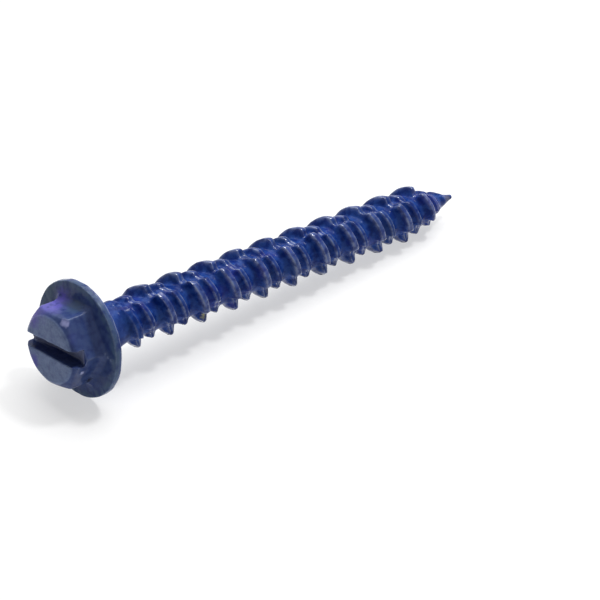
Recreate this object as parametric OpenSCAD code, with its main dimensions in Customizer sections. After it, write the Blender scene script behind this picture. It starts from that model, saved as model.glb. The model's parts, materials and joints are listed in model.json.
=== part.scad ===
// Concrete screw with a slotted hexagon head and a washer-like flange.
// A tall and a low thread share one pitch, both nicked along three lines.
// It lies as it comes to rest: on the flange's rim and on the tall thread.
// Units are millimetres. The screw points along +X and the floor is Z = 0.

/* [Size] */
// Length from the underside of the head to the tip
length = 57.15; // [40:0.05:90]

/* [Head] */
// Outside diameter of the flange
flange_d = 12.7; // [11:0.1:15]
// Thickness of the flange at its rim
flange_t = 0.85; // [0.7:0.05:1.4]
// Further rise of the flange from its rim to the hexagon
flange_rise = 0.1; // [0:0.05:0.6]
// Lean of the rim's side from upright
rim_lean = 0; // [0:1:45]
// Rounding of the rim's two edges
rim_r = 0.15; // [0.1:0.05:0.34]
// Distance across the flats of the hexagon
hex_af = 7.94; // [6.5:0.01:8.5]
// Height of the head above its underside
head_h = 4.5; // [3.6:0.05:6]
// Height of the flare where the flats run out into the flange
flare_h = 1.1; // [0.4:0.05:1.2]
// Radius of the flare
flare_r = 1.4; // [0.8:0.05:2]
// Diameter of the flat top, as a share of the distance across the flats
top_share = 0.89; // [0.8:0.01:0.97]
// Slope of the chamfer round the top
chamfer_deg = 41; // [15:1:45]
// Rounding between the flat top and the chamfer
top_edge_r = 0.3; // [0.1:0.1:0.8]
// Width of the screwdriver slot
slot_w = 1.6; // [1:0.05:2]
// Depth of the screwdriver slot
slot_depth = 1.8; // [1:0.05:2]
// Turn of the slot from the side that the screw lies on
head_turn = 83; // [0:1:180]

/* [Shank] */
// Diameter of the plain shank
shank_d = 4.9; // [4.6:0.05:5.1]
// Length of the plain shank under the head
plain_len = 3.0; // [2.5:0.1:10]
// Radius of the fillet under the head
neck_r = 0.5; // [0.2:0.05:0.8]

/* [Thread] */
// Outside diameter of the tall thread
tall_d = 6.35; // [6:0.05:7.5]
// Outside diameter of the low thread
low_d = 5.4; // [4.8:0.05:5.8]
// Diameter of the core between the threads
root_d = 4.2; // [3.8:0.05:4.4]
// Advance of each thread in one turn
pitch = 4.6; // [4.3:0.05:6]
// Lag of the low thread behind the tall one, as a share of the pitch
low_lag = 0.46; // [0.44:0.01:0.55]
// Width of the flat on the tall thread's crest
tall_crest = 0.7; // [0.3:0.05:0.8]
// Width of the flat on the low thread's crest
low_crest = 0.55; // [0.3:0.05:0.7]
// Run of the tall thread's flank on the head side
tall_back = 0.5; // [0.2:0.05:0.7]
// Run of the tall thread's flank on the tip side
tall_front = 0.55; // [0.3:0.05:0.8]
// Run of the low thread's flank on the head side
low_back = 0.45; // [0.2:0.05:0.6]
// Run of the low thread's flank on the tip side
low_front = 0.5; // [0.2:0.05:0.8]
// Length over which the threads rise from the plain shank
run_in = 3.4; // [1:0.1:5]
// Point where the tall thread crosses the underside, as a share of the pitch
thread_start = 0.41; // [0:0.01:0.99]

/* [Nicks] */
// Nicks in each turn of the threads
nick_n = 3; // [1:1:4]
// Width of a nick, in degrees round the screw
nick_w = 44; // [36:1:60]
// Width of each sloping side of a nick, in degrees
nick_side = 12; // [8:1:18]
// Depth of a nick, as a share of the thread's height
nick_share = 0.75; // [0.3:0.05:0.9]
// Turn of the first line of nicks from the side that the screw lies on
nick_turn = 64; // [0:1:180]

/* [Tip] */
// Length of the cone at the tip
tip_len = 6.8; // [4:0.1:10]
// Diameter of the blunt end
tip_d = 0.5; // [0.3:0.05:1]
// Bare length of the cone past the end of the threads
bare_tip = 1.4; // [0.5:0.1:3]

/* [Hidden] */
$fn = 96;
// Radii that the shapes below share
flange_r = flange_d / 2;
shank_r = shank_d / 2;
root_r = root_d / 2;
tip_r = tip_d / 2;
top_r = top_share * hex_af / 2;
corner = 1 / cos(30);
rim_top_r = flange_r - rim_r - (flange_t - 2 * rim_r) * tan(rim_lean);
// The flare ends inside the rim's upper edge, also under its corners
least_flare = 0.1;
most_flare = max(least_flare, rim_top_r / corner - hex_af / 2);
// Straight pieces in each rounded edge of the head
arc_steps = 6;
// The threads start this far inside the plain shank, and this far below its skin
overlap = 1.5;
sink = 0.12;
// Steps round each turn of the helix
steps = 40;
// One pitch of the thread: distance along the screw and share of each thread's height
tall_h = tall_d / 2 - root_r;
low_h = low_d / 2 - root_r;
tall_half = tall_crest / 2;
low_half = low_crest / 2;
low_at = low_lag * pitch;
section = [
  [-tall_half - tall_back, 0],
  [-tall_half, tall_h],
  [tall_half, tall_h],
  [tall_half + tall_front, 0],
  [low_at - low_half - low_back, 0],
  [low_at - low_half, low_h],
  [low_at + low_half, low_h],
  [low_at + low_half + low_front, 0]
];
points_per_pitch = len(section);
// The threaded length runs from first_s to length along the screw
first_s = plain_len - overlap;
turns = ceil(length / pitch) + 3;
rows = turns * points_per_pitch;
row_0 = (thread_start - 2) * pitch;
snap = 0.03;
// The screw rests on its rim and on the last full turn of the tall thread
taper_from = length - tip_len;
last_turn = floor(taper_from / pitch - thread_start);
rest_s = (thread_start + last_turn) * pitch + tall_half;
rest_r = tall_d / 2;
reach = rest_s + rim_r;
drop = flange_r - rim_r - rest_r;
lay_deg = atan2(drop, reach) + asin(rim_r / norm([reach, drop]));
lift = rest_s * sin(lay_deg) + rest_r * cos(lay_deg);
front_x = length * cos(lay_deg) + tip_r * sin(lay_deg);
back_x = -head_h * cos(lay_deg) - top_r * sin(lay_deg);
mid_x = (front_x + back_x) / 2;

function clamp01(v) = max(0, min(1, v));

// Core radius at a distance s from the underside of the head
function core(s) =
  let (risen = clamp01((s - plain_len) / run_in))
  let (body = shank_r - sink + risen * (root_r - shank_r + sink))
  let (cone = tip_r + (length - s) * (root_r - tip_r) / tip_len)
  min(body, cone);

// Share of the full thread height at a distance s
function grown(s) =
  clamp01((s - plain_len) / run_in) * clamp01((length - bare_tip - s) / (tip_len - bare_tip));

// Share of the thread height that the nicks leave at an angle
function nicked(angle) =
  let (gap = 360 / nick_n)
  let (turned = (angle - nick_turn) % gap)
  let (near = min(abs(turned), gap - abs(turned)))
  1 - nick_share * clamp01((nick_w / 2 - near) / nick_side);

function step_angle(j) = nick_turn + 360 * j / steps;

function row_s(m, j) =
  let (turn = floor(m / points_per_pitch))
  let (along = section[m % points_per_pitch][0])
  row_0 + turn * pitch + along + pitch * step_angle(j) / 360;

function skin_r(m, j) =
  let (s = row_s(m, j))
  let (height = section[m % points_per_pitch][1])
  core(s) + height * grown(s) * nicked(step_angle(j));

function skin_point(m, j) =
  let (r = skin_r(m, j))
  let (angle = step_angle(j))
  [r * cos(angle), r * sin(angle), row_s(m, j)];

function ring_point(j, r, s) =
  [r * cos(step_angle(j)), r * sin(step_angle(j)), s];

// Places in the list of points: two end rings, two end centres, then the skin
function point_at(m, j) =
  let (wraps = floor(j / steps))
  let (row = m + wraps * points_per_pitch)
  let (step = j - wraps * steps)
  let (s = row_s(row, step))
  s <= first_s + snap ? step
  : s >= length - snap ? steps + step
  : 2 * steps + 2 + row * steps + step;

function is_face(t) = t[0] != t[1] && t[1] != t[2] && t[2] != t[0];

module threaded_body() {
  first_ring = [for (j = [0 : steps - 1]) ring_point(j, core(first_s), first_s)];
  last_ring = [for (j = [0 : steps - 1]) ring_point(j, tip_r, length)];
  centres = [[0, 0, first_s], [0, 0, length]];
  skin = [for (m = [0 : rows - 1]) for (j = [0 : steps - 1]) skin_point(m, j)];
  quads = [for (m = [0 : rows - 2]) for (j = [0 : steps - 1])
    [point_at(m, j), point_at(m, j + 1), point_at(m + 1, j + 1), point_at(m + 1, j)]];
  lower = [for (q = quads) [q[2], q[1], q[0]]];
  upper = [for (q = quads) [q[3], q[2], q[0]]];
  first_cap = [for (j = [0 : steps - 1]) [2 * steps, j, (j + 1) % steps]];
  last_cap = [for (j = [0 : steps - 1]) [2 * steps + 1, steps + (j + 1) % steps, steps + j]];
  polyhedron(
    points = concat(first_ring, last_ring, centres, skin),
    faces = [for (t = concat(lower, upper, first_cap, last_cap)) if (is_face(t)) t]
  );
}

// Flange, fillet and plain shank, turned in one piece
module turned_blank() {
  flange_top = flange_t + flange_rise;
  low_turn = 90 + rim_lean;
  low_rim = [for (i = [0 : arc_steps])
    let (a = low_turn * i / arc_steps)
    [flange_r - rim_r + rim_r * sin(a), rim_r * cos(a) - rim_r]];
  high_rim = [for (i = [0 : arc_steps])
    let (a = low_turn + (180 - low_turn) * i / arc_steps)
    [rim_top_r + rim_r * sin(a), rim_r - flange_t + rim_r * cos(a)]];
  neck = [for (a = [0 : 15 : 90])
    [shank_r + neck_r - neck_r * cos(a), neck_r - neck_r * sin(a)]];
  rotate_extrude()
    polygon(concat(
      [[0, plain_len], [shank_r, plain_len]],
      neck,
      low_rim,
      high_rim,
      [[hex_af / 2, -flange_top], [0, -flange_top]]
    ));
}

// Hexagon whose flats flare out into the flange
module flared_hexagon() {
  foot_deg = asin(min(1, flare_h / flare_r));
  curve = [for (i = [arc_steps : -1 : 0])
    let (a = foot_deg * i / arc_steps)
    let (out = min(most_flare, flare_r * (1 - cos(a))))
    [hex_af / 2 + out, -flange_t - flare_h + flare_r * sin(a)]];
  profile = concat(
    [[0, -flange_t / 2], [curve[0][0], -flange_t / 2]],
    curve,
    [[hex_af / 2, -head_h - 1], [0, -head_h - 1]]
  );
  rotate_extrude($fn = 6)
    polygon([for (p = profile) [p[0] * corner, p[1]]]);
}

// Round blank that gives the hexagon its flat top and its chamfer
module chamfer_blank() {
  tangent = top_edge_r * tan(chamfer_deg / 2);
  edge = [for (a = [0 : chamfer_deg / 4 : chamfer_deg])
    [top_r - tangent + top_edge_r * sin(a), top_edge_r - head_h - top_edge_r * cos(a)]];
  fall = (flange_r - top_r) * tan(chamfer_deg);
  rotate_extrude()
    polygon(concat(
      [[0, 0], [0, -head_h]],
      edge,
      [[flange_r, fall - head_h], [flange_r, 0]]
    ));
}

module slot() {
  translate([-flange_r, -slot_w / 2, -head_h - 1])
    cube([flange_d, slot_w, slot_depth + 1]);
}

module head() {
  rotate([0, 0, head_turn])
    difference() {
      intersection() {
        flared_hexagon();
        chamfer_blank();
      }
      slot();
    }
}

module screw() {
  color([0.2, 0.25, 0.42])
    translate([-mid_x, 0, lift])
      rotate([0, 90 + lay_deg, 0]) {
        turned_blank();
        head();
        threaded_body();
      }
}

screw();
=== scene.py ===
# %% [markdown]
# # A concrete screw and its baked blue coat
# The screw is one piece of steel: a slotted hexagon head, a flange, a short plain shank and a
# tall and a low thread with nicks. A imported solid already holds its sizes and its place on the
# floor. This lesson gives it a fine skin, a finish, light and a camera, and never moves it.
# The box of the solid is measured first, and its lowest side sets the floor's height.

# %% Load the fixed frame
import json
import math

import bpy
import numpy as np
from mathutils import Matrix, Vector


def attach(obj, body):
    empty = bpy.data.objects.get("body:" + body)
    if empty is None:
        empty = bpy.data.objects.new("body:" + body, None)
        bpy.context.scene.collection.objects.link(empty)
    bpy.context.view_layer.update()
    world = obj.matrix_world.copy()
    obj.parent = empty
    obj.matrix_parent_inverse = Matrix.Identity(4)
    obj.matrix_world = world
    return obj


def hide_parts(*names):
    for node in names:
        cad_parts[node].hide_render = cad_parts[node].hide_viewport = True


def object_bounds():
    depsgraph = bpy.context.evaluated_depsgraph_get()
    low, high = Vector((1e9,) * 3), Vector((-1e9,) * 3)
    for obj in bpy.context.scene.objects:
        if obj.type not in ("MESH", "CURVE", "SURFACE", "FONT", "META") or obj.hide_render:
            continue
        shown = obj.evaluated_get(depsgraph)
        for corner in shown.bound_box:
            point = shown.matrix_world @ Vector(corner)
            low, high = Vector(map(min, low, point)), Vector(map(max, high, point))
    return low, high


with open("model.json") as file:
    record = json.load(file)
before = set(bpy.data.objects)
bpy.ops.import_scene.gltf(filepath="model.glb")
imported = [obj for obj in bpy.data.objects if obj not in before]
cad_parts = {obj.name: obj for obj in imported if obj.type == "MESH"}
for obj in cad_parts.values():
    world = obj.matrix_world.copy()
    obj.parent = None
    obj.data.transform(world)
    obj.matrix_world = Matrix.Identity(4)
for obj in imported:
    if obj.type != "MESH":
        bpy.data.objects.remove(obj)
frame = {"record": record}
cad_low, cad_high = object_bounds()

MM = 0.001
print("CAD box in mm:", [round(v / MM, 2) for v in (*cad_low, *cad_high)])

# %% [markdown]
# ## The screw's own axes
# Shapes of revolution are easiest to write along their own axis. So all points below are in
# millimetres, with s from the underside of the head towards the tip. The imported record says
# where the flange's bearing face lies and which way the screw points, and one matrix takes
# the finished points from the screw's axes to the floor's.

# %% Place the screw's axes
bearing = next(m for m in frame["record"]["mounts"] if m["name"] == "bearing_face")
along = Vector(bearing["axis"]).normalized()
centre = Vector((bearing["pos_m"][0], 0.0, bearing["pos_m"][2]))
side = Vector((0, 1, 0))
down = side.cross(along)
to_floor = np.array([down, side, along])
print("the screw dips", round(math.degrees(math.asin(-along.z)), 2), "degrees")

# %% [markdown]
# ## Camera
# The photograph looks down on the screw from the head's side. A camera can be aimed with a
# constraint, but here its turn is written as three angles: round the screw, above the floor
# and a slight roll. A long lens keeps the head and the tip nearly at one scale.

# %% Set the camera
CAMERA_AWAY = Vector((-107.99, -133.57, 115.39)) * MM
AZIMUTH, ELEVATION, ROLL = -46.32, 32.63, 3.92
LENS, SENSOR = 120.0, 36.0


def turn(degrees, axis):
    return Matrix.Rotation(math.radians(degrees), 4, axis)


camera = bpy.data.objects.new("camera", bpy.data.cameras.new("camera"))
camera.data.lens = LENS
camera.data.sensor_width = SENSOR
camera.data.clip_start = 0.01
aim = turn(AZIMUTH, "Z") @ turn(90 - ELEVATION, "X") @ turn(ROLL, "Z")
camera.matrix_world = Matrix.Translation(centre + CAMERA_AWAY) @ aim
bpy.context.scene.collection.objects.link(camera)
bpy.context.scene.camera = camera
print("camera looks along", [round(v, 3) for v in -aim.col[2].xyz])

# %% [markdown]
# ## Sizes
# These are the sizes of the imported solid, in millimetres. The skin repeats the solid's form
# and adds what a real coated screw has: edges rounded by the coat, filled corners, uneven
# nicks and small lumps.

# %% Name the sizes
LENGTH = 57.15
FLANGE_R, FLANGE_T, FLANGE_RISE = 6.35, 0.85, 0.1
RIM_R = 0.15
HEX_AF, HEAD_H, TOP_SHARE, CHAMFER = 7.94, 4.5, 0.89, math.radians(41)
FLARE_H, FLARE_R = 1.1, 1.4
SLOT_W, SLOT_DEPTH, HEAD_TURN = 1.6, 1.8, math.radians(83)
SHANK_R, PLAIN_LEN = 2.45, 3.0
TALL_R, LOW_R, ROOT_R = 3.175, 2.7, 2.1
PITCH, LOW_LAG, THREAD_START, RUN_IN = 4.6, 0.46, 0.41, 3.4
TALL_CREST, TALL_BACK, TALL_FRONT = 0.7, 0.5, 0.55
LOW_CREST, LOW_BACK, LOW_FRONT = 0.55, 0.45, 0.5
NICK_N, NICK_W, NICK_SIDE, NICK_SHARE, NICK_TURN = 3, 44.0, 12.0, 0.75, 64.0
TIP_LEN, TIP_R, BARE_TIP = 6.8, 0.25, 1.4
print("length over head and tip:", LENGTH + HEAD_H, "mm")

# %% [markdown]
# ## Lumps
# Nothing on a dipped or sprayed screw is quite even. Blender has noise textures, but the
# shapes here are worked out in numpy, so the lumps are too: many plane waves of about one
# wavelength, each in its own direction. A fixed seed gives the same lumps on each run.

# %% Make a smooth random field
WAVES = 26


class Lumps:
    """A smooth random field of about one wavelength, with values mostly between -2 and 2."""

    def __init__(self, wavelength, seed):
        rng = np.random.default_rng(seed)
        direction = rng.normal(size=(WAVES, 3))
        direction /= np.linalg.norm(direction, axis=1, keepdims=True)
        stretch = rng.uniform(0.7, 1.4, (WAVES, 1))
        self.wave = direction * stretch * 2 * math.pi / wavelength
        self.phase = rng.uniform(0, 2 * math.pi, WAVES)

    def at(self, points):
        return np.cos(points @ self.wave.T + self.phase).sum(-1) * math.sqrt(2 / WAVES)


print("lumps at the origin:", round(float(Lumps(1.0, 1).at(np.zeros(3))), 3))

# %% [markdown]
# ## The head as a distance field
# A hexagon with a slot could be cut with booleans and rounded with a bevel, but bevels often
# tear where a slot meets a chamfer. A thick baked coat rounds every edge and fills every
# corner at once, and a distance field does the same: each shape is a function that gives the
# distance to its surface, and a soft maximum or minimum blends two of them. This cell makes
# the blends, and two shapes: the flange and the hexagon.

# %% Describe the flange and the hexagon
CORNER_SOFT = 0.14
STEEPEST = 0.92
FLANGE_OUTLINE = np.array([
    (-FLANGE_R, RIM_R), (FLANGE_R - RIM_R, RIM_R), (FLANGE_R - RIM_R, FLANGE_T - RIM_R),
    (HEX_AF / 2, FLANGE_T + FLANGE_RISE - RIM_R), (-FLANGE_R, FLANGE_T + FLANGE_RISE - RIM_R)])


def soft_max(a, b, width):
    """The larger of two distances, with the edge between them rounded over this width."""
    near = np.maximum(width - np.abs(a - b), 0) / width
    return np.maximum(a, b) + near * near * width / 4


def soft_min(a, b, width):
    """The smaller of two distances, with the corner between them filled."""
    return -soft_max(-a, -b, width)


def clamp01(v):
    return np.clip(v, 0, 1)


def smooth01(v):
    v = clamp01(v)
    return v * v * (3 - 2 * v)


def flange_distance(r, h):
    """Distance to the flange, whose outline is walked once round with the inside on the left."""
    nearest = np.full(r.shape, np.inf)
    inside = np.full(r.shape, True)
    for (r0, h0), (r1, h1) in zip(FLANGE_OUTLINE, np.roll(FLANGE_OUTLINE, -1, axis=0)):
        share = ((r - r0) * (r1 - r0) + (h - h0) * (h1 - h0)) / ((r1 - r0) ** 2 + (h1 - h0) ** 2)
        share = clamp01(share)
        nearest = np.minimum(nearest, np.hypot(r - r0 - share * (r1 - r0), h - h0 - share * (h1 - h0)))
        inside &= (r1 - r0) * (h - h0) > (h1 - h0) * (r - r0)
    return np.where(inside, -nearest, nearest) - RIM_R


def hexagon_distance(x, y):
    flats = [np.abs(x * math.cos(a) + y * math.sin(a)) - HEX_AF / 2
             for a in np.radians((30, 90, 150))]
    return soft_max(soft_max(flats[0], flats[1], CORNER_SOFT), flats[2], CORNER_SOFT)


def flared(x, y, h):
    """The hexagon, whose flats bend outwards along an arc near the flange."""
    sine = np.clip((FLANGE_T + FLARE_H - h) / FLARE_R, 0, STEEPEST)
    cosine = np.sqrt(1 - sine * sine)
    return (hexagon_distance(x, y) - FLARE_R * (1 - cosine)) * cosine


print("field of the hexagon at its axis:", round(float(hexagon_distance(0.0, 0.0)), 2))

# %% [markdown]
# Now the shapes are put together. A cone cuts off the hexagon's top corners, the slot is taken
# out, and the flange and a stub of the shank are added. The slot lies a little off the middle,
# and its floor rises towards both ends. A short gash and three drops of coat beside the hexagon
# are blended in the same way. In these functions x runs along the slot, y across it, and h
# rises from the bearing face to the top.

# %% Describe the head
EDGE_SOFT, CROWN_SOFT, SLOT_SOFT = 0.16, 0.14, 0.1
FOOT_SOFT, NECK_SOFT = 0.14, 0.6
SLOT_OFF, SLOT_TAPER = -0.12, 0.022
POOL_H, POOL_FROM, POOL_RUN = 0.4, 0.6, 3.2
RISE_H, RISE_FROM, RISE_RUN = 0.45, 2.6, 1.8
GASH = np.array([(-2.38, 3.86, 1.59), (-2.84, 3.25, 1.35)])
BLOBS = np.array([(-4.83, -0.19, 1.0), (-5.13, 0.09, 0.9), (-5.5, 0.29, 0.85)])
GASH_R, BLOB_R = 0.15, 0.16
TOP_R = TOP_SHARE * HEX_AF / 2


def gash_distance(points):
    """Distance to a short gash in the coat, a line with round ends."""
    run = GASH[1] - GASH[0]
    share = clamp01((points - GASH[0]) @ run / (run @ run))
    return np.linalg.norm(points - GASH[0] - share[:, None] * run, axis=1) - GASH_R


def head_distance(points):
    """The slotted hexagon on its flange, with a stub of the shank below."""
    x, y, h = points.T
    r = np.hypot(x, y)
    top = h - HEAD_H
    chamfer = (top + (r - TOP_R) * math.tan(CHAMFER)) * math.cos(CHAMFER)
    crown = soft_max(top, chamfer, CROWN_SOFT)
    hexagon = soft_max(flared(x, y, h), crown, EDGE_SOFT)
    floor = HEAD_H - SLOT_DEPTH + POOL_H * smooth01((x - POOL_FROM) / POOL_RUN)
    floor = floor + RISE_H * smooth01((-x - RISE_FROM) / RISE_RUN)
    slot = soft_max(np.abs(y - SLOT_OFF) - SLOT_W / 2 + SLOT_TAPER * x, floor - h, SLOT_SOFT)
    jaws = np.maximum(soft_max(hexagon, -slot, SLOT_SOFT), FLANGE_T / 2 - h)
    head = soft_min(jaws, flange_distance(r, h), FOOT_SOFT)
    for blob in BLOBS:
        head = soft_min(head, np.linalg.norm(points - blob, axis=1) - BLOB_R, FOOT_SOFT)
    head = soft_max(head, -gash_distance(points), SLOT_SOFT)
    shank = np.maximum(r - SHANK_R, h - FLANGE_T / 2)
    return soft_min(head, shank, NECK_SOFT)


print("distance at the middle of the slot:", head_distance(np.array([[0, 0, HEAD_H]])).round(2))

# %% [markdown]
# ## From the field to a skin
# Blender can turn a volume into a mesh, but its points lie only roughly on the surface. This
# cell uses surface nets: space is cut into small cells, each cell that the surface crosses
# gets one point, and each grid edge that crosses the surface gets one quad. Then a few Newton
# steps slide every point exactly onto the surface, so flats come out flat and edges clean.

# %% Wrap a distance field in quads
CELL = 0.1
NEWTON_STEPS = 4
PROBE = 0.02
LEAST_SLOPE = 0.1


def slope_of(distance, points):
    """Slope of the field, and the sum of its bends: positive on edges, negative in corners."""
    ahead = [distance(points + PROBE * axis) for axis in np.eye(3)]
    behind = [distance(points - PROBE * axis) for axis in np.eye(3)]
    slope = np.stack([(a - b) / (2 * PROBE) for a, b in zip(ahead, behind)], -1)
    bend = (sum(ahead) + sum(behind) - 6 * distance(points)) / PROBE ** 2
    return slope, bend


def surface_net(distance, low, high):
    """Points and quads on the surface of a distance field, inside a box."""
    axes = [np.arange(a, b, CELL) for a, b in zip(low, high)]
    grid = np.stack(np.meshgrid(*axes, indexing="ij"), -1)
    value = distance(grid.reshape(-1, 3)).reshape(grid.shape[:3])
    cells = np.array(value.shape) - 1
    total = np.zeros((*cells, 3))
    count = np.zeros(cells)
    crossings = []
    for axis in range(3):
        here = [slice(None)] * 3
        there = [slice(None)] * 3
        here[axis], there[axis] = slice(None, -1), slice(1, None)
        a, b = value[tuple(here)], value[tuple(there)]
        crosses = (a < 0) != (b < 0)
        share = np.where(crosses, a / np.where(crosses, a - b, 1), 0)[..., None]
        place = grid[tuple(here)] * (1 - share) + grid[tuple(there)] * share
        u, v = (axis + 1) % 3, (axis + 2) % 3
        for du in (0, 1):
            for dv in (0, 1):
                part = [slice(None)] * 3
                part[u] = slice(du, du + cells[u])
                part[v] = slice(dv, dv + cells[v])
                hit = crosses[tuple(part)]
                total += np.where(hit[..., None], place[tuple(part)], 0)
                count += hit
        at = np.argwhere(crosses)
        inner = (at[:, u] > 0) & (at[:, v] > 0) & (at[:, u] < cells[u]) & (at[:, v] < cells[v])
        crossings.append((axis, at[inner], a[tuple(at[inner].T)] < 0))
    used = count > 0
    number = np.full(cells, -1)
    number[used] = np.arange(used.sum())
    points = total[used] / count[used][:, None]
    quads = []
    for axis, at, leaving in crossings:
        step_u, step_v = np.eye(3, dtype=int)[[(axis + 1) % 3, (axis + 2) % 3]]
        ring = [at, at - step_u, at - step_u - step_v, at - step_v]
        quad = np.stack([number[tuple(c.T)] for c in ring], 1)
        quads.append(np.where(leaving[:, None], quad, quad[:, ::-1]))
    for _ in range(NEWTON_STEPS):
        slope, _ = slope_of(distance, points)
        size = np.maximum((slope ** 2).sum(1), LEAST_SLOPE)
        points = points - slope * (distance(points) / size)[:, None]
    return points, np.concatenate(quads)


print("cells of", CELL, "mm")

# %% [markdown]
# The net is now thrown over the head. The box ends inside the stub of the shank, so the skin
# stays open there, and the shank can be joined to it later. The bend of the field tells edges
# from corners, and the paint will use it.

# %% Wrap the head
STUB = 1.0
reach = FLANGE_R + 2 * CELL
head_points, head_quads = surface_net(
    head_distance, (-reach, -reach, -STUB), (reach, reach, HEAD_H + 2 * CELL))
_, head_bend = slope_of(head_distance, head_points)
print("head:", len(head_points), "points,", len(head_quads), "quads")

# %% [markdown]
# ## The thread's section
# One pitch of the thread is a tall tooth and a low tooth, each with a narrow flat crest. Its
# outline has eight corners. Each is replaced by a short curve, tight on the crests, where the
# coat is thin, and wide at the roots, where it pools. Each point also keeps a number that
# says whether it lies on an edge (1), in a corner (-1) or between, for the wear on the paint.

# %% Round one pitch of the thread
CREST_ROUND, ROOT_ROUND = 0.13, 0.3
ROUND_STEPS = 4
MOST = 0.42
tall_h, low_h, low_at = TALL_R - ROOT_R, LOW_R - ROOT_R, LOW_LAG * PITCH
tall_half, low_half = TALL_CREST / 2, LOW_CREST / 2
corners = [
    (-tall_half - TALL_BACK, 0), (-tall_half, tall_h),
    (tall_half, tall_h), (tall_half + TALL_FRONT, 0),
    (low_at - low_half - LOW_BACK, 0), (low_at - low_half, low_h),
    (low_at + low_half, low_h), (low_at + low_half + LOW_FRONT, 0)]


def rounded_section():
    """Points of one pitch as rows of distance along the screw, height and edge number."""
    rows = []
    wrap = np.array([PITCH, 0])
    for i, corner in enumerate(corners):
        corner = np.array(corner)
        before = np.array(corners[i - 1]) - (wrap if i == 0 else 0)
        after = np.array(corners[(i + 1) % len(corners)]) + (wrap if i == len(corners) - 1 else 0)
        on_crest = corner[1] > 0
        size = CREST_ROUND if on_crest else ROOT_ROUND
        start = corner + (before - corner) * min(size / np.linalg.norm(before - corner), MOST)
        end = corner + (after - corner) * min(size / np.linalg.norm(after - corner), MOST)
        for t in np.linspace(0, 1, ROUND_STEPS):
            point = start * (1 - t) ** 2 + 2 * corner * t * (1 - t) + end * t ** 2
            rows.append((*point, (1 if on_crest else -1) * (1 - abs(2 * t - 1) / 2)))
        next_start = after + (corner - after) * MOST
        rows.append((*(end + next_start) / 2, 0))
    return np.array(rows)


section = rounded_section()
print("one pitch has", len(section), "points")

# %% [markdown]
# ## Heights along the screw
# The body under the thread narrows from the shank to the roots and ends in a cone. The thread
# fades in at the shank and out at the tip. The nicks were pressed in along three lines, and no
# two of them are quite alike: lumps shift them, change their depth and make their sides ragged.

# %% Describe body and nicks
FALL_LEAD, CONE_SOFT = 0.3, 0.25
NICK_OFF, NICK_FILL = np.array([0, 4, -8]), np.array([3, 6, 0])
NICK_WANDER, NICK_RAGGED, NICK_UNEVEN = 4.0, 0.8, 0.12
nick_shift, nick_depth = Lumps(3.1, 11), Lumps(2.7, 12)
crest_sag, burr = Lumps(2.6, 13), Lumps(0.55, 14)


def cone_r(s):
    return TIP_R + (LENGTH - s) * (ROOT_R - TIP_R) / TIP_LEN


def core_r(s):
    """Radius of the body under the thread."""
    fall = smooth01((s - PLAIN_LEN + FALL_LEAD) / RUN_IN)
    body = SHANK_R + fall * (ROOT_R - SHANK_R)
    return soft_min(body, cone_r(s), CONE_SOFT)


def grown(s):
    """Share of the full height of the thread at a distance along the screw."""
    rise = clamp01((s - PLAIN_LEN) / RUN_IN)
    return rise * clamp01((LENGTH - BARE_TIP - s) / (TIP_LEN - BARE_TIP))


def on_screw(r, angle, s):
    """Points from a radius, an angle in radians from the floor's side, and s."""
    return np.stack([r * np.cos(angle), r * np.sin(angle), s + 0 * r], -1)


def nick_of(angle, s):
    """How deep a nick is at each point: 0 outside, 1 in its bottom line."""
    place = on_screw(TALL_R + 0 * s, angle, s)
    gap = 360 / NICK_N
    turned = (np.degrees(angle) - NICK_TURN) / gap
    line = np.rint(turned)
    which = line.astype(int) % NICK_N
    away = np.abs((turned - line) * gap - NICK_OFF[which] + NICK_WANDER * nick_shift.at(place))
    away = away + NICK_RAGGED * burr.at(place) + NICK_FILL[which]
    depth = 1 + NICK_UNEVEN * nick_depth.at(place)
    return smooth01((NICK_W / 2 - away) / NICK_SIDE) * np.clip(depth, 0.6, 1.2)


print("body radius at 0, 10 and 55 mm:", core_r(np.array([0.0, 10.0, 55.0])).round(2))

# %% [markdown]
# ## The threaded body as a grid
# A Screw modifier could wind the section round the axis, but it can't change the height along
# the way. So the grid is wound by a formula: each step round the axis moves the section along
# by a share of the pitch. The nicks cut the height down, and the crests sag a little between
# them. Near the floor the crests are narrower.

# %% Wind the thread
STEPS = 110
THREAD_FROM, THREAD_TO = 2.0, LENGTH - BARE_TIP + 0.2
UNDER_AT, UNDER_W, NARROW = 335.0, 45.0, 0.5
TALL_EDGE, LOW_EDGE, LOW_NARROW = 1, 5, 0.7
SAG, SAG_UNEVEN, BURR_H = 0.01, 0.015, 0.025
per_corner = ROUND_STEPS + 1
crest_back = np.zeros(len(section))
for corner, amount in ((TALL_EDGE, 1.0), (LOW_EDGE, LOW_NARROW)):
    crest_middle = (corner + 1) * per_corner - 1
    crest_back[corner * per_corner:crest_middle] = amount
    crest_back[crest_middle] = amount / 2


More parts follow.
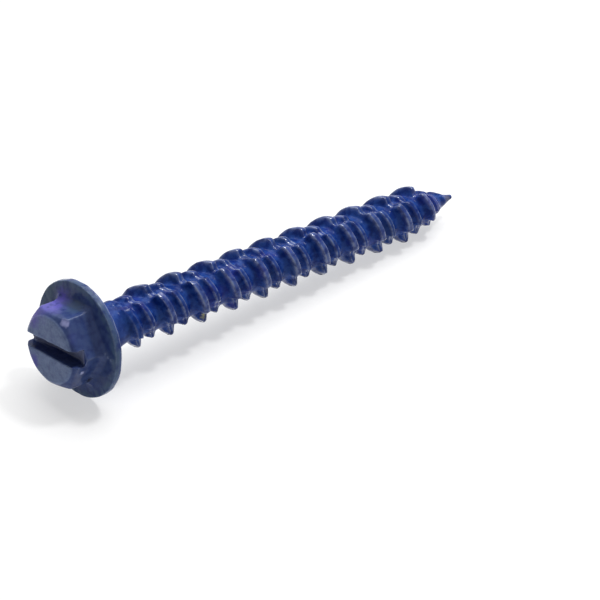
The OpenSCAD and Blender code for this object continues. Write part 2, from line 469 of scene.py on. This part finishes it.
def thread_grid():
    """The threaded body: one row for each point of each pitch, one column for each step round."""
    turns = math.ceil(LENGTH / PITCH) + 3
    per_pitch = len(section)
    row = np.arange(turns * per_pitch)[:, None]
    step = np.arange(STEPS)[None, :]
    angle = 2 * math.pi * step / STEPS + 0 * row
    start = (THREAD_START - 2 + row // per_pitch + step / STEPS) * PITCH
    s = start + section[row % per_pitch, 0]
    under = clamp01(1 - np.abs((np.degrees(angle) - UNDER_AT + 180) % 360 - 180) / UNDER_W)
    s = s + NARROW * under * crest_back[row % per_pitch]
    height = section[row % per_pitch, 1] + 0 * step
    nick = nick_of(angle, s)
    place = on_screw(TALL_R + 0 * s, angle, s)
    share = height / tall_h
    sag = share * (SAG + SAG_UNEVEN * crest_sag.at(place))
    ragged = BURR_H * burr.at(place) * share * clamp01(nick * (1.4 - nick) * 3)
    tooth = height * grown(s) * (1 - NICK_SHARE * clamp01(nick))
    r = core_r(s) + np.minimum(tooth - (sag + ragged) * grown(s), height)
    edge = section[row % per_pitch, 2] * grown(s)
    return s, angle, r, edge, nick * grown(s) * (share > 0.1)


grid_s, grid_angle, grid_r, grid_edge, grid_nick = thread_grid()
print("thread grid:", grid_s.shape[0], "rows of", grid_s.shape[1])

# %% [markdown]
# ## One closed skin
# The head, the plain shank, the thread and the tip become one mesh without a seam. Points and
# faces are gathered in lists, and small functions add to them: a ring of points, a band of quads
# between two rings, and a zip of triangles between rings that have different counts.

# %% Gather points and faces
skin_points, skin_faces, skin_edge, skin_nick = [], [], [], []


def add_points(points, edge, nick):
    first = sum(len(p) for p in skin_points)
    skin_points.append(points)
    skin_edge.append(edge + np.zeros(len(points)))
    skin_nick.append(nick + np.zeros(len(points)))
    return first + np.arange(len(points))


def add_ring(r, s):
    angle = 2 * math.pi * np.arange(STEPS) / STEPS
    return add_points(on_screw(np.full(STEPS, r), angle, s), 0, 0)


def add_band(ring_a, ring_b):
    """Quads between two rings of the same count, the second one nearer the tip."""
    next_a, next_b = np.roll(ring_a, -1), np.roll(ring_b, -1)
    skin_faces.extend(np.stack([ring_a, next_a, next_b, ring_b], 1).tolist())


def zip_rings(ring_a, angle_a, ring_b, angle_b):
    """Triangles between two rings of different counts, both in the order of their angles."""
    i = j = 0
    while i < len(ring_a) or j < len(ring_b):
        next_a = angle_a[i + 1] if i + 1 < len(ring_a) else angle_a[0] + 2 * math.pi
        next_b = angle_b[j + 1] if j + 1 < len(ring_b) else angle_b[0] + 2 * math.pi
        a, b = ring_a[i % len(ring_a)], ring_b[j % len(ring_b)]
        if j == len(ring_b) or (i < len(ring_a) and next_a < next_b):
            skin_faces.append([a, ring_a[(i + 1) % len(ring_a)], b])
            i += 1
        else:
            skin_faces.append([a, ring_b[(j + 1) % len(ring_b)], b])
            j += 1


print("each ring has", STEPS, "points")

# %% [markdown]
# The zip joins the open end of the head to the first ring of the shank, and bands of quads carry
# on along it. The thread grid is cut off square at both ends: points past an end are pulled onto
# the ring there, and faces that collapse are dropped. One turn of the grid meets the next where
# the last column is sewn to the first, one pitch further on.

# %% Join head, shank and thread
SHANK_GAP = 0.13
SNAP = 0.02
FULL_BEND = 5


def head_to_screw(points):
    """From the slot's axes to the screw's axes."""
    x, y, h = points.T
    c, s = math.cos(HEAD_TURN), math.sin(HEAD_TURN)
    return np.stack([c * x + s * y, s * x - c * y, -h], 1)


head_at = add_points(head_to_screw(head_points), np.clip(head_bend / FULL_BEND, -1, 1), 0)
skin_faces.extend(head_at[head_quads].tolist())
open_end = np.flatnonzero(head_points[:, 2] < -STUB + CELL)
open_angle = np.arctan2(skin_points[0][open_end, 1], skin_points[0][open_end, 0]) % (2 * math.pi)
order = np.argsort(open_angle)
ring_angle = 2 * math.pi * np.arange(STEPS) / STEPS

shank_s = np.arange(STUB + SHANK_GAP / 2, THREAD_FROM - SHANK_GAP / 2, SHANK_GAP)
shank_rings = [add_ring(SHANK_R, s) for s in shank_s]
zip_rings(head_at[open_end[order]], open_angle[order], shank_rings[0], ring_angle)
for ring_a, ring_b in zip(shank_rings, shank_rings[1:]):
    add_band(ring_a, ring_b)

thread_first = add_ring(core_r(THREAD_FROM), THREAD_FROM)
thread_last = add_ring(core_r(THREAD_TO), THREAD_TO)
add_band(shank_rings[-1], thread_first)
free = (grid_s > THREAD_FROM + SNAP) & (grid_s < THREAD_TO - SNAP)
grid_at = np.where(grid_s <= THREAD_FROM + SNAP, thread_first[None, :], thread_last[None, :])
grid_at[free] = add_points(
    on_screw(grid_r[free], grid_angle[free], grid_s[free]), grid_edge[free], grid_nick[free])
wrapped = np.vstack([grid_at[len(section):, :1], np.full((len(section), 1), thread_last[0])])
grid_at = np.hstack([grid_at, wrapped])
for quad in np.stack([grid_at[:-1, :-1], grid_at[:-1, 1:], grid_at[1:, 1:], grid_at[1:, :-1]],
                     -1).reshape(-1, 4).tolist():
    face = [v for i, v in enumerate(quad) if v != quad[i - 1]]
    if len(set(face)) > 2:
        skin_faces.append(face)
print("skin so far:", sum(map(len, skin_points)), "points,", len(skin_faces), "faces")

# %% [markdown]
# The tip is a cone that ends in a small dome. Its last ring closes on one point.

# %% Close the tip
TIP_GAP, DOME_STEPS = 0.1, 6
dome_s = LENGTH - TIP_R
cone_s = np.arange(THREAD_TO + TIP_GAP, dome_s - TIP_GAP / 2, TIP_GAP)
dome_r = float(cone_r(dome_s))
tip_outline = [(float(core_r(s)), s) for s in cone_s]
for a in np.linspace(0, math.pi / 2, DOME_STEPS, endpoint=False):
    tip_outline.append((dome_r * math.cos(a), dome_s + TIP_R * math.sin(a)))
last = thread_last
for r, s in tip_outline:
    ring = add_ring(r, s)
    add_band(last, ring)
    last = ring
point = add_points(np.array([[0.0, 0.0, LENGTH]]), 0, 0)[0]
skin_faces.extend([a, b, point] for a, b in zip(last.tolist(), np.roll(last, -1).tolist()))
print("tip closed with", len(tip_outline), "rings")

# %% [markdown]
# ## Place the skin
# The points move to the floor's axes and become a mesh. Three values stay with each point
# for the paint: its place on the screw, whether it lies on an edge, and whether it is nicked.
# The coat's soft lumps move each point a little inwards along its normal, so the skin keeps to
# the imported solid's box within about a hundredth of a millimetre.

# %% Build the screw's mesh
LUMP_H, FINE_H, SINK, DEEPEST = 0.012, 0.002, 0.018, 0.06
local = np.concatenate(skin_points)
mesh = bpy.data.meshes.new("screw_skin")
mesh.from_pydata((local @ to_floor * MM + np.array(centre)).tolist(), [], skin_faces)
mesh.validate()
normals = np.zeros(len(local) * 3, np.float32)
mesh.vertex_normals.foreach_get("vector", normals)
soft = LUMP_H * Lumps(1.7, 21).at(local) + FINE_H * Lumps(0.6, 22).at(local)
moved = local @ to_floor + normals.reshape(-1, 3) * np.clip(soft - SINK, -DEEPEST, 0)[:, None]
mesh.vertices.foreach_set("co", (moved * MM + np.array(centre)).ravel())
for name, kind, key, data in (
        ("place", "FLOAT_VECTOR", "vector", local.ravel()),
        ("edge", "FLOAT", "value", np.concatenate(skin_edge)),
        ("nick", "FLOAT", "value", np.concatenate(skin_nick))):
    mesh.attributes.new(name, kind, "POINT").data.foreach_set(key, data.astype(np.float32))
mesh.polygons.foreach_set("use_smooth", np.ones(len(mesh.polygons), bool))
mesh.update()
screw = bpy.data.objects.new("screw_body", mesh)
bpy.context.scene.collection.objects.link(screw)
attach(screw, "root")
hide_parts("screw")
print("screw:", sum(len(p.vertices) - 2 for p in mesh.polygons), "triangles")

# %% [markdown]
# ## Shader maths
# Masks are sums and products of textures, and long chains of Math nodes are hard to read. A
# small class wraps a socket, so that an expression such as 1 - mask adds the nodes by itself.

# %% Wrap a socket


class Wire:
    """A value inside a material. Maths on it adds Math nodes."""

    def __init__(self, finish, socket):
        self.finish = finish
        self.socket = socket

    def math(self, operation, *values):
        return self.finish.node("Math", {"operation": operation}, dict(enumerate(values)))

    def __add__(self, other):
        return self.math("ADD", self, other)

    def __sub__(self, other):
        return self.math("SUBTRACT", self, other)

    def __rsub__(self, other):
        return self.math("SUBTRACT", other, self)

    def __mul__(self, other):
        return self.math("MULTIPLY", self, other)

    def __abs__(self):
        return self.math("ABSOLUTE", self)

    __radd__ = __add__
    __rmul__ = __mul__


print("a wire takes +, -, * and abs()")

# %% [markdown]
# Every other node comes from one method of a second class: its type, then its settings, then its
# sockets. A few short methods name the nodes that are used most. Colours are written as an eye
# reads them and turned into linear light, which is what a shader works with.

# %% Wrap a material's nodes


class Finish:
    """The nodes of one material, or of the world."""

    def __init__(self, owner):
        owner.use_nodes = True
        self.material = owner
        self.tree = owner.node_tree
        self.tree.nodes.clear()

    def node(self, kind, settings, sockets, output=0):
        node = self.tree.nodes.new("ShaderNode" + kind)
        for name, value in settings.items():
            setattr(node, name, value)
        for name, value in sockets.items():
            if isinstance(value, Wire):
                self.tree.links.new(value.socket, node.inputs[name])
            else:
                node.inputs[name].default_value = value
        return Wire(self, node.outputs[output]) if node.outputs else None

    def between(self, value, low, high):
        """0 below low, 1 above high, smooth between."""
        return self.node("MapRange", {"interpolation_type": "SMOOTHSTEP"},
                         {"Value": value, "From Min": low, "From Max": high})

    def noise(self, vector, scale):
        return self.node("TexNoise", {}, {"Vector": vector, "Scale": scale, "Detail": 3.0})

    def spot(self, vector, centre, size):
        """1 at a place, 0 further away than this size."""
        distance = self.node("VectorMath", {"operation": "DISTANCE"}, {0: vector, 1: centre}, "Value")
        return self.between(distance, size, size * 0.2)

    def blend(self, share, a, b):
        """Colour a where share is 0, colour b where it is 1."""
        return self.node("Mix", {"data_type": "RGBA"}, {0: share, 6: a, 7: b}, output=2)


def paint(red, green, blue):
    """A colour as an eye reads it, 0 to 255, turned into the linear values of a shader."""
    linear = [c / 12.92 if c <= 0.04045 else ((c + 0.055) / 1.055) ** 2.4
              for c in (red / 255, green / 255, blue / 255)]
    return (*linear, 1.0)


print("navy as linear light:", [round(v, 3) for v in paint(18, 29, 97)])

# %% [markdown]
# ## The baked blue coat
# The coat is a satin navy paint over steel. Its colour could be one value, but a real coat is
# cloudy: purple where it baked hot, greenish grey where it is thin, and chalky on the flat top
# of the head, which rubs most. All masks are worked out on the screw's own place, so they move
# and turn with it.

# %% Mix the coat's colours
coat = Finish(bpy.data.materials.new("blue_coat"))
place = coat.node("Attribute", {"attribute_name": "place"}, {}, output="Vector")
edge = coat.node("Attribute", {"attribute_name": "edge"}, {}, output="Fac")
nick = coat.node("Attribute", {"attribute_name": "nick"}, {}, output="Fac")
along_screw = coat.node("SeparateXYZ", {}, {0: place}, output="Z")
cloud = coat.noise(place, 0.3)
mottle = coat.noise(place, 1.3)
grit = coat.noise(place, 4.5)

colour = coat.blend(coat.between(mottle, 0.35, 0.65), paint(10, 37, 104), paint(34, 64, 132))
colour = coat.blend(coat.between(cloud, 0.54, 0.68) * 0.35, colour, paint(40, 40, 134))
colour = coat.blend(coat.between(cloud, 0.46, 0.34) * 0.35, colour, paint(28, 56, 98))
in_head = coat.between(along_screw, 0.0, -0.6)
painted_light_on_shank = coat.between(along_screw, -0.2, 0.2) * coat.between(along_screw, 4.5, 2.0)
on_top = coat.between(along_screw, -4.25, -4.42)
# painted light: the start of the shank, which lies in the flange's shadow, is painted lighter
colour = coat.blend(painted_light_on_shank * 0.4, colour, paint(62, 86, 154))
colour = coat.blend(in_head * (0.4 + coat.between(mottle, 0.3, 0.65) * 0.25), colour, paint(66, 77, 108))
chalk = 0.45 + coat.between(mottle, 0.32, 0.62) * 0.28 + coat.between(grit, 0.4, 0.62) * 0.2
colour = coat.blend(on_top * chalk, colour, paint(104, 120, 154))
print("colours so far:", len(coat.tree.nodes), "nodes")

# %% [markdown]
# The floor of the slot and the rim get colours of their own. The slot's floor is painted pale:
# painted light that stands for light reaching into the slot, which lies in shade. The rim is
# greenish and paler: partly its own tone, partly a painted reflection of the white
# surroundings. A mask for each comes from distances: across the slot, along the screw and
# from its axis.

# %% Paint light on the slot's floor and colour the rim
across_slot = coat.node("VectorMath", {"operation": "DOT_PRODUCT"}, {
    0: place, 1: (math.sin(HEAD_TURN), -math.cos(HEAD_TURN), 0)}, "Value") - SLOT_OFF
flat_place = coat.node("VectorMath", {"operation": "MULTIPLY"}, {0: place, 1: (1, 1, 0)})
radius = coat.node("VectorMath", {"operation": "LENGTH"}, {0: flat_place}, "Value")
in_slot = coat.between(abs(across_slot), 0.8, 0.7)
painted_light_in_slot = in_slot * coat.between(along_screw, -3.4, -3.2) * coat.between(along_screw, -2.2, -2.5)
# painted light: the slot's floor is painted pale, though it lies in shade
colour = coat.blend(painted_light_in_slot * coat.between(radius, 4.15, 3.9) * 0.85, colour, paint(120, 126, 156))
rim = in_head * coat.between(radius, 5.3, 6.0)
# the rim's greenish tone, plus a painted reflection that makes it paler
colour = coat.blend(rim * coat.between(mottle, 0.25, 0.6) * 0.55, colour, paint(72, 94, 114))
print("with slot and rim:", len(coat.tree.nodes), "nodes")

# %% [markdown]
# Single stains could be painted by hand on a picture, but that would need a map of the surface.
# Instead each mark is a soft ball in space that tints what it touches: a place on the screw in
# millimetres, a size, a strength and a colour. Most are stains of the coat, but two pale balls
# are painted highlights, on a corner of the chamfer and at the end of the lower jaw, and a dark
# one is painted shade inside the gash. A noise shifts the places a little, so that no mark is a
# perfect ball.

# %% Add the single stains, painted highlights and painted shade
MARKS_AND_PAINTED_LIGHT = {
    "purple flat": ((-3.72, 2.02, -2.62), 2.7, 0.75, (100, 92, 182)),
    "purple foot": ((-3.99, 2.35, -1.08), 1.3, 0.6, (84, 74, 172)),
    "green flat": ((-4.19, 0.1, -1.51), 2.0, 0.7, (62, 82, 108)),
    "purple upper jaw": ((-2.36, 2.83, -4.35), 1.5, 0.8, (84, 72, 160)),
    "purple lower jaw": ((2.41, 2.38, -4.48), 1.3, 0.8, (64, 56, 150)),
    "green rim": ((-3.25, 4.92, -0.83), 2.4, 0.5, (66, 88, 98)),
    # painted highlight on a corner of the chamfer
    "painted highlight on corner": ((-3.85, -1.66, -3.89), 0.6, 0.55, (172, 174, 222)),
    # painted shade inside the gash
    "painted shade in gash": ((3.21, -3.02, -1.47), 0.42, 0.9, (6, 10, 40)),
    # painted highlight at the end of the lower jaw
    "painted highlight on jaw": ((1.34, -3.7, -3.03), 0.35, 0.8, (170, 176, 216)),
    "yellow crest": ((1.55, -1.9, 15.12), 0.45, 0.9, (186, 184, 128)),
    "brown tip": ((-0.28, -0.42, 56.13), 0.8, 0.5, (104, 98, 96))}
SHIFT = 0.9
drift = coat.node("TexNoise", {}, {"Vector": place, "Scale": 1.7}, "Color")
centred = coat.node("VectorMath", {"operation": "SUBTRACT"}, {0: drift, 1: (0.5, 0.5, 0.5)})
uneven = coat.node("VectorMath", {"operation": "MULTIPLY_ADD"}, {
    0: centred, 1: (SHIFT, SHIFT, SHIFT), 2: place})
for middle, size, strength, rgb in MARKS_AND_PAINTED_LIGHT.values():
    mask = coat.spot(uneven, middle, size) * coat.between(mottle, 0.2, 0.5)
    colour = coat.blend(mask * strength, colour, paint(*rgb))
print("stains:", ", ".join(MARKS_AND_PAINTED_LIGHT))

# %% [markdown]
# Wear starts where things touch: the crests and the rim's edge go paler, partly as worn paint and
# partly as a painted highlight along the edges, and a few flecks of bare steel show beside the
# nicks. The flecks are metal, so they also get a metal's shine. A bump makes soft lumps and a fine
# grit. Paint on an edge is rubbed smooth, so a clear coat over the paint shines most on the
# crests, in patches.

# %% Add wear and the shader
# paler edges: partly worn paint, partly a painted highlight
wear_and_painted_highlight = coat.between(edge + (mottle - 0.5) * 1.4, 0.55, 1.2)
colour = coat.blend(wear_and_painted_highlight * (0.5 - in_head * 0.25), colour, paint(112, 128, 160))
bare = coat.between(edge * 0.4 + nick * 0.5 + (grit - 0.5) * 2.6, 1.3, 1.42)
colour = coat.blend(bare, colour, paint(206, 206, 204))
rough = 0.21 + (mottle - 0.5) * 0.2 + on_top * 0.12
height = mottle * 0.6 + grit * 0.2
bump = coat.node("Bump", {}, {"Strength": 0.3, "Distance": 0.0001, "Height": height}, "Normal")
crest = coat.between(radius, 2.9, 3.05) * (1 - in_head)
patchy = 0.3 + coat.between(mottle, 0.38, 0.6) * 0.7
gloss = in_head * 0.1 + (coat.between(edge, 0.1, 0.6) * (1 - in_head * 0.88) + crest * 0.7) * patchy
shader = coat.node("BsdfPrincipled", {}, {
    "Base Color": colour, "Roughness": rough, "Metallic": bare * 0.8, "Normal": bump,
    "Specular IOR Level": 0.06, "Coat Weight": gloss, "Coat Roughness": 0.12})
coat.node("OutputMaterial", {}, {"Surface": shader})
mesh.materials.append(coat.material)
print("blue coat:", len(coat.tree.nodes), "nodes")

# %% [markdown]
# ## Floor
# The screw lies on white paper. A white diffuse sheet is enough for the shadow. A little glow
# of its own lifts the sheet to the white of the photograph without stronger lamps. The glow
# grows with the distance, so that only the shadow near the screw is grey.

# %% Lay the paper
FLOOR = 1.5
PAPER_GLOW, GLOW_NEAR, GLOW_FAR = 0.56, 0.035, 0.14
floor_mesh = bpy.data.meshes.new("floor")
floor_mesh.from_pydata([(-FLOOR, -FLOOR, 0), (FLOOR, -FLOOR, 0), (FLOOR, FLOOR, 0),
                        (-FLOOR, FLOOR, 0)], [], [(0, 1, 2, 3)])
floor = bpy.data.objects.new("floor", floor_mesh)
floor.location.z = cad_low.z
bpy.context.scene.collection.objects.link(floor)
paper = Finish(bpy.data.materials.new("white_paper"))
diffuse = paper.node("BsdfDiffuse", {}, {"Color": (0.95, 0.95, 0.95, 1)})
glow = paper.node("Emission", {}, {"Color": (1, 1, 1, 1), "Strength": 1.0})
spread = paper.node("TexCoord", {}, {}, "Object")
away = paper.node("VectorMath", {"operation": "LENGTH"}, {0: spread}, "Value")
share = PAPER_GLOW + (1 - PAPER_GLOW) * paper.between(away, GLOW_NEAR, GLOW_FAR)
sheet = paper.node("MixShader", {}, {0: share, 1: diffuse, 2: glow})
paper.node("OutputMaterial", {}, {"Surface": sheet})
floor_mesh.materials.append(paper.material)
print("floor at", round(floor.location.z / MM, 4), "mm")

# %% [markdown]
# ## Surroundings
# The camera and all mirror-like reflections see a plain white room. Soft light from that room
# is kept lower, so that one side of each thread stays dark. The Light Path node tells the two
# kinds of ray apart.

# %% Light the room
ROOM_LIGHT = 0.16
world = bpy.data.worlds.new("studio")
bpy.context.scene.world = world
room = Finish(world)
seen = sum((room.node("LightPath", {}, {}, output=kind) for kind in (
    "Is Camera Ray", "Is Glossy Ray", "Is Transmission Ray")), start=0.0)
strength = ROOM_LIGHT + (1 - ROOM_LIGHT) * room.between(seen, 0, 1)
background = room.node("Background", {}, {"Color": (1, 1, 1, 1), "Strength": strength})
room.node("OutputWorld", {}, {"Surface": background})
print("room:", len(room.tree.nodes), "nodes")

# %% [markdown]
# ## Lamps
# One large soft box hangs overhead, a little behind the screw and towards its tip. So the
# shadow falls to the front, and the side of each thread that faces the head stays dark. A
# small lamp beside it draws the thin bright lines along the edges of the crests.

# %% Hang the lamps


def soft_box(name, place, size, watts):
    """A round lamp that is aimed at the floor under the screw's middle."""
    lamp = bpy.data.lights.new(name, "AREA")
    lamp.shape = "DISK"
    lamp.size = size
    lamp.energy = watts
    box = bpy.data.objects.new(name, lamp)
    box.location = place
    box.rotation_euler = (-Vector(place)).to_track_quat("-Z", "Y").to_euler()
    bpy.context.scene.collection.objects.link(box)


soft_box("overhead", (0.10, 0.10, 0.36), 0.45, 1.8)
soft_box("small_lamp", (0.13, -0.05, 0.34), 0.06, 0.55)
bpy.context.scene.view_settings.view_transform = "Standard"
print("lamps:", [lamp.name for lamp in bpy.data.lights])
